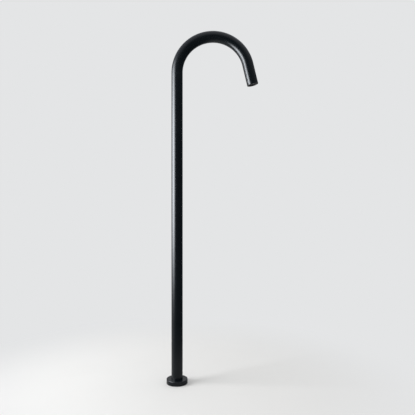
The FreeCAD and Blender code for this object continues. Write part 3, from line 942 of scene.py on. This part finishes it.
def makeFlowGrid(plastic):
    sizes = {
        "Cell": aerator["gridCell"],
        "Rib": aerator["gridRib"],
        "Rim Radius": aerator["gridRadius"],
        "Open Radius": aerator["lipRadius"] - aerator["gridRim"],
        "Thickness": aerator["gridThickness"],
        "Reach": aerator["gridReach"],
        "Material": plastic,
    }
    piece = addPiece("flowGrid")
    runTree(piece, honeycombTree(sizes), sizes)
    inwards = aerator["setback"] + aerator["lipThickness"]
    piece.data.transform(noseMatrix() @ Matrix.Translation((0, 0, inwards)))
    fitPiece(piece, "spout", "grid_plastic", "flow_grid")


# Making the pieces

blackCoat = satinPowderCoat(powderCoat)
brass = turnedFinish(brassLook)
stainlessPlate = turnedFinish(plateLook)
stainlessScrew = mottledFinish(screwLook)
acetal = turnedFinish(acetalLook)
rubber = mottledFinish(rubberLook)
print("materials made")

makeSpoutTube(blackCoat)
makeBaseCover(blackCoat)
makeRetainingScrews(stainlessScrew)
makeFloorFlange(stainlessPlate)
makeFloorScrews(stainlessScrew)
makeSwivelPost(brass)
makeAeratorHousing(mottledFinish(blackPlasticLook))
makeFlowGrid(mottledFinish(greyPlasticLook))

# the other pieces keep the solids' own meshes and only get their finish
for finish, nodeNames in (
        (oversprayedBrass(oversprayLook), ("nose_insert",)),
        (brass, ("swivel_sleeve",)),
        (acetal, ("thrust_washer", "lower_glide_ring", "upper_glide_ring", "jet_plate",
                  "strainer_screen")),
        (rubber, ("aerator_seal", "inlet_seal", "cover_grip_ring", "lower_seal_ring",
                  "upper_seal_ring", "floor_gasket"))):
    for nodeName in nodeNames:
        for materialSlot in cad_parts[nodeName].material_slots:
            materialSlot.material = finish
print("pieces made and finished")


# The studio: floor, light and camera

studio = {
    "backdrop": "#e4e5e6",
    "dimSide": "#2a333a",  # what gloss sees in front and on the right
    "paleSide": "#a2a3a5",  # and behind on the left
    "paleWay": (-0.7, 0.71, 0.0),
    "sideFade": (-0.1, 0.6),  # from dim to pale, by how far a way points to the pale side
    "overhead": "#cbced5",
    "overheadFade": (0.2, 0.95),
    "fillColour": "#ffffff",  # soft light from all round
    "fill": 0.75,
}
# pale floor paint, matt; far out it turns into the backdrop, so no horizon shows. To gloss it
# glows with the surround colours instead, a painted reflection of a dim room in front and a
# pale one behind on the left, and near the object it only partly shows its lit paint
floorPaint = {
    "name": "paleFloorPaint",
    "shader": {"Roughness": 0.8, "Specular IOR Level": 0.1},
    "dark": "#e4e4e3", "pale": "#e7e7e6",
    "stains": 9.0,  # to the metre
    "detail": 5.0,
    "radius": 2.2,
    "sides": 96,
    "fade": (0.25, 0.75, 0.0),  # the radii it starts and ends at, and its share before them
    # the radii over which gloss goes from partly to wholly the painted reflection, and its
    # share before them
    "glossFade": (0.15, 0.5, 0.68),
}


def surroundInGloss(tree, way):
    # what gloss sees round the object: pale on one side, dim on the other
    facing = addNode(tree, "ShaderNodeVectorMath", {0: way}, operation="NORMALIZE")
    towards = addNode(tree, "ShaderNodeVectorMath", {0: facing, 1: studio["paleWay"]},
                      operation="DOT_PRODUCT").outputs["Value"]
    start, end = studio["sideFade"]
    share = addNode(tree, "ShaderNodeMapRange", {0: towards, 1: start, 2: end},
                    interpolation_type="SMOOTHSTEP")
    return addNode(tree, "ShaderNodeMix",
                   {0: share, 6: hexColour(studio["dimSide"]),
                    7: hexColour(studio["paleSide"])}, data_type="RGBA").outputs[2]


def rayKinds(tree):
    # whether a ray is a glossy one, and whether it looks straight or through glass
    ray = addNode(tree, "ShaderNodeLightPath").outputs
    seen = addNode(tree, "ShaderNodeMath",
                   {0: ray["Is Camera Ray"], 1: ray["Is Transmission Ray"]},
                   operation="MAXIMUM")
    return ray["Is Glossy Ray"], seen


def paintedFloor(look):
    material, tree, shader, place = startMaterial(look)
    stain = addNode(tree, "ShaderNodeTexNoise",
                    {"Vector": place, "Scale": look["stains"], "Detail": look["detail"]})
    shade = addNode(tree, "ShaderNodeMix",
                    {0: stain, 6: hexColour(look["dark"]), 7: hexColour(look["pale"])},
                    data_type="RGBA")
    tree.links.new(shade.outputs[2], shader.inputs["Base Color"])
    reach = addNode(tree, "ShaderNodeVectorMath", {0: place},
                    operation="LENGTH").outputs["Value"]
    plain, inGloss = [
        addNode(tree, "ShaderNodeMapRange", {0: reach, 1: start, 2: end, 3: least},
                interpolation_type="SMOOTHSTEP")
        for start, end, least in (look["fade"], look["glossFade"])]
    glossy, seen = rayKinds(tree)
    # the floor's painted glow, though it is no lamp: the backdrop to the camera, a painted
    # reflection of the surround to gloss
    far = addNode(tree, "ShaderNodeMix",
                  {0: glossy, 6: hexColour(studio["backdrop"]),
                   7: surroundInGloss(tree, place)}, data_type="RGBA").outputs[2]
    glow = addNode(tree, "ShaderNodeEmission", {"Color": far})
    seen = addNode(tree, "ShaderNodeMath", {0: seen, 1: plain}, operation="MULTIPLY")
    share = addNode(tree, "ShaderNodeMath", {0: glossy, 1: inGloss, 2: seen},
                    operation="MULTIPLY_ADD")
    mix = addNode(tree, "ShaderNodeMixShader", {0: share, 1: shader, 2: glow})
    output = [n for n in tree.nodes if n.type == "OUTPUT_MATERIAL"][0]
    tree.links.new(mix.outputs[0], output.inputs["Surface"])
    return material


def makeFloor():
    shape = bmesh.new()
    bmesh.ops.create_circle(shape, cap_ends=True, segments=floorPaint["sides"],
                            radius=floorPaint["radius"])
    floor = addPiece("studioFloor")
    shape.to_mesh(floor.data)
    shape.free()
    floor.data.materials.append(paintedFloor(floorPaint))


def makeWorld():
    # the camera sees a plain pale backdrop; gloss sees what stands round and overhead
    world = bpy.data.worlds.new("studioWorld")
    world.use_nodes = True
    tree = world.node_tree
    tree.nodes.clear()
    glossy, seen = rayKinds(tree)
    way = addNode(tree, "ShaderNodeTexCoord").outputs["Generated"]
    height = addNode(tree, "ShaderNodeSeparateXYZ", {0: way}).outputs["Z"]
    start, end = studio["overheadFade"]
    above = addNode(tree, "ShaderNodeMapRange", {0: height, 1: start, 2: end},
                    interpolation_type="SMOOTHSTEP")
    surround = addNode(tree, "ShaderNodeMix",
                       {0: above, 6: surroundInGloss(tree, way),
                        7: hexColour(studio["overhead"])}, data_type="RGBA").outputs[2]
    fill, plain, gloss = [
        addNode(tree, "ShaderNodeBackground", {"Color": colour, "Strength": strength})
        for colour, strength in ((hexColour(studio["fillColour"]), studio["fill"]),
                                 (hexColour(studio["backdrop"]), 1.0), (surround, 1.0))]
    first = addNode(tree, "ShaderNodeMixShader", {0: glossy, 1: fill, 2: gloss})
    both = addNode(tree, "ShaderNodeMixShader", {0: seen, 1: first, 2: plain})
    addNode(tree, "ShaderNodeOutputWorld", {"Surface": both})
    bpy.context.scene.world = world


# both lamps are soft rectangles on the left that face the riser
stripeLamp = {
    "name": "stripeLamp",  # draws the bright stripe down the riser
    "size": (1.11, 1.32),
    "softFoot": 0.485,  # height over which it fades at its lower edge
    "softTop": 0.59,  # and at its upper edge
    "height": 0.72,
    "distance": 0.6,  # from the riser
    "side": 75.0,  # degrees left of the camera, seen from the riser
    "power": 79.0,
    "colour": "#f2f7fd",
}
shadowLamp = {
    "name": "shadowLamp",  # lights the floor and throws the soft shadow
    "size": (1.27, 1.07),
    "height": 1.047,
    "distance": 2.0,
    "side": 77.0,
    "power": 42.0,
    "colour": "#ffffff",
}


def makeLamp(lamp):
    data = bpy.data.lights.new(lamp["name"], "AREA")
    data.shape = "RECTANGLE"
    data.size, data.size_y = lamp["size"]
    data.energy = lamp["power"]
    data.color = hexColour(lamp["colour"])[:3]
    light = addPiece(lamp["name"], data)
    turn = math.radians(lamp["side"])
    light.location = (-lamp["distance"] * math.sin(turn), -lamp["distance"] * math.cos(turn),
                      lamp["height"])
    aim = Vector((0.0, 0.0, lamp["height"])) - light.location
    light.rotation_euler = aim.to_track_quat("-Z", "Y").to_euler()
    light.visible_camera = False
    return light


def fadeEdges(light, lamp):
    # brightest in its middle and dark at its edges, so the stripe has no hard end
    light.data.use_nodes = True
    tree = light.data.node_tree
    tree.nodes.clear()
    place = addNode(tree, "ShaderNodeNewGeometry").outputs["Parametric"]
    parts = addNode(tree, "ShaderNodeSeparateXYZ", {0: place}).outputs
    fromSide = addNode(tree, "ShaderNodeMath", {0: parts["X"], 1: 0.5}, operation="PINGPONG")
    tall = lamp["size"][1]
    glow = 1.0
    for value, start, end in ((fromSide, 0.0, 0.5), (parts["Y"], 0.0, lamp["softFoot"] / tall),
                              (parts["Y"], 1.0, 1.0 - lamp["softTop"] / tall)):
        fade = addNode(tree, "ShaderNodeMapRange", {0: value, 1: start, 2: end},
                       interpolation_type="SMOOTHSTEP")
        glow = addNode(tree, "ShaderNodeMath", {0: glow, 1: fade}, operation="MULTIPLY")
    glow = addNode(tree, "ShaderNodeEmission", {"Strength": glow})
    addNode(tree, "ShaderNodeOutputLight", {"Surface": glow})


camera = {
    "place": (0.0865, -1.279, 0.4985),
    "lens": 39.0,
    "sensor": 36.0,
}


def makeCamera():
    # level, square on to the plane of the bend
    lens = bpy.data.cameras.new("photoCamera")
    lens.lens = camera["lens"]
    lens.sensor_width = camera["sensor"]
    eye = addPiece("photoCamera", lens)
    eye.location = camera["place"]
    eye.rotation_euler = (math.radians(90), 0, 0)
    bpy.context.scene.camera = eye


makeFloor()
makeWorld()
stripeLight = makeLamp(stripeLamp)
stripeLight.visible_diffuse = False
fadeEdges(stripeLight, stripeLamp)
makeLamp(shadowLamp).visible_glossy = False
makeCamera()
bpy.context.scene.view_settings.view_transform = "Standard"
print("studio set")
